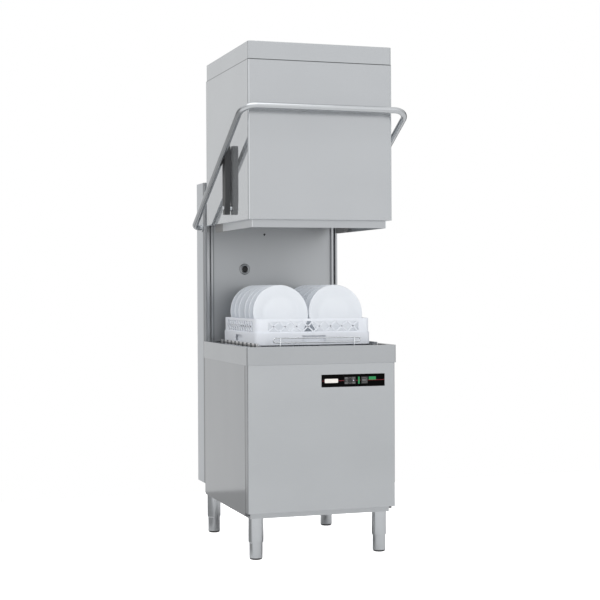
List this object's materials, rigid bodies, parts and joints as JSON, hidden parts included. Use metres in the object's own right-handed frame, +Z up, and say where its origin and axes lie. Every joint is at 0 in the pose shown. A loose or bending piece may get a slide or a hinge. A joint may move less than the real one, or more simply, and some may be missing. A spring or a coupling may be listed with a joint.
{
  "type": "hood-type glass washer",
  "caption": "Free-standing hood-type washer with lift handle and links, rack on a track, spray arms, tank, rear column and adjustable feet.",
  "frame": {"origin": "centre of the whole object's box, on the floor", "axes": "+Z up, -Y towards the operator, +X to the operator's right; hood raised"},
  "size_m": [0.723, 0.9008, 2.0705],
  "materials": {
    "steel": "satin stainless sheet",
    "steel_panel": "brushed stainless panel",
    "steel_casing": "light brushed stainless",
    "bright_steel": "bright polished stainless",
    "dark_plastic": "matt moulded plastic",
    "fascia_black": "satin black panel",
    "window_green": "lit green window",
    "grey_plastic": "satin grey",
    "rack_plastic": "pale moulded rack plastic",
    "white_glaze": "white glazed plate",
    "machine_paint": "grey machine paint"
  },
  "bodies": {
    "machine": {"base_frame": "steel", "base_tray": "steel", "leg_tubes": "steel", "front_panel": "steel_panel", "deck": "steel_panel", "wash_tank": "steel", "wash_tub": "steel", "sump_strainer": "steel", "filter_trays": "steel", "tank_heater": "bright_steel", "lower_standpipe": "steel", "wash_riser": "steel", "pump_motor": "machine_paint", "pump_volute": "dark_plastic", "suction_hose": "dark_plastic", "delivery_pipe": "steel", "boiler": "steel", "rinse_pipe": "steel", "inlet_valve": "dark_plastic", "drain_pump": "dark_plastic", "cable_gland": "dark_plastic", "dosing_pumps": "dark_plastic", "control_box": "dark_plastic", "control_fascia": "fascia_black", "fascia_windows": "window_green", "button_bezel": "grey_plastic", "guide_posts": "steel", "back_wall": "steel_casing", "port_fitting": "grey_plastic", "rear_casing": "steel_casing", "rear_cover": "steel_casing", "cover_screws": "bright_steel", "pivot_bushes": "bright_steel", "balance_springs": "bright_steel", "rack_track": "steel", "rack_stop_wire": "bright_steel", "side_panel_right": "steel_panel", "side_panel_left": "steel_panel"},
    "hood": {"hood_shell": "steel_panel", "hood_cap": "steel_panel", "hood_liner": "steel", "guide_shoes": "dark_plastic", "lip_guide_blocks": "dark_plastic", "link_pins": "bright_steel"},
    "links": {"lift_links": "dark_plastic"},
    "handle": {"handle_bar": "bright_steel", "handle_shaft": "bright_steel"},
    "rack": {"rack_basket": "rack_plastic", "plates": "white_glaze"},
    "overflow": {"overflow_pipe": "dark_plastic"},
    "lower_wash_arm": {"wash_arm_lower": "steel"},
    "lower_rinse_arm": {"rinse_arm_lower": "steel"},
    "upper_wash_arm": {"wash_arm_upper": "steel"},
    "upper_rinse_arm": {"rinse_arm_upper": "steel"},
    "foot_fl": {"foot_front_left": "dark_plastic"},
    "foot_fr": {"foot_front_right": "dark_plastic"},
    "foot_rl": {"foot_rear_left": "dark_plastic"},
    "foot_rr": {"foot_rear_right": "dark_plastic"},
    "start_button": {"program_button": "dark_plastic"},
    "switch_button": {"power_button": "grey_plastic"}
  },
  "joints": [
    {"name": "hood_slide", "type": "slide", "parent": "machine", "child": "hood", "axis": [0, 0, 1], "range_m": [-0.508, 0], "stiffness_N_per_m": 60, "springref_m": 5.9},
    {"name": "handle_swing", "type": "hinge", "parent": "machine", "child": "handle", "pos_m": [0, 0.35323, 1.358], "axis": [1, 0, 0], "range_deg": [0, 58.33]},
    {"name": "link_tilt", "type": "hinge", "parent": "hood", "child": "links", "pos_m": [0, -0.10077, 1.42], "axis": [1, 0, 0], "range_deg": [0, 0.984]},
    {"name": "rack_lift", "type": "slide", "parent": "machine", "child": "rack", "axis": [0, 0, 1], "range_m": [0, 0.2]},
    {"name": "overflow_lift", "type": "slide", "parent": "machine", "child": "overflow", "axis": [0, 0, 1], "range_m": [0, 0.078]},
    {"name": "lower_wash_spin", "type": "hinge", "parent": "machine", "child": "lower_wash_arm", "pos_m": [0, -0.03652, 0.81], "axis": [0, 0, 1], "continuous": true},
    {"name": "lower_rinse_spin", "type": "hinge", "parent": "machine", "child": "lower_rinse_arm", "pos_m": [0, -0.03652, 0.838], "axis": [0, 0, 1], "continuous": true},
    {"name": "upper_wash_spin", "type": "hinge", "parent": "machine", "child": "upper_wash_arm", "pos_m": [0, -0.03652, 1.392], "axis": [0, 0, 1], "continuous": true},
    {"name": "upper_rinse_spin", "type": "hinge", "parent": "machine", "child": "upper_rinse_arm", "pos_m": [0, -0.03652, 1.366], "axis": [0, 0, 1], "continuous": true},
    {"name": "foot_fl_screw", "type": "slide", "parent": "machine", "child": "foot_fl", "axis": [0, 0, 1], "range_m": [-0.03, 0]},
    {"name": "foot_fr_screw", "type": "slide", "parent": "machine", "child": "foot_fr", "axis": [0, 0, 1], "range_m": [-0.03, 0]},
    {"name": "foot_rl_screw", "type": "slide", "parent": "machine", "child": "foot_rl", "axis": [0, 0, 1], "range_m": [-0.03, 0]},
    {"name": "foot_rr_screw", "type": "slide", "parent": "machine", "child": "foot_rr", "axis": [0, 0, 1], "range_m": [-0.03, 0]},
    {"name": "start_press", "type": "slide", "parent": "machine", "child": "start_button", "axis": [0, 1, 0], "range_m": [0, 0.0015], "stiffness_N_per_m": 600, "springref_m": -0.001},
    {"name": "switch_press", "type": "slide", "parent": "machine", "child": "switch_button", "axis": [0, 1, 0], "range_m": [0, 0.0015], "stiffness_N_per_m": 600, "springref_m": -0.001}
  ],
  "couplings": [
    {"joint": "handle_swing", "follows": "hood_slide", "rad_per_m": -2.0025},
    {"joint": "link_tilt", "follows": "hood_slide", "rad_per_m": -0.03208}
  ]
}
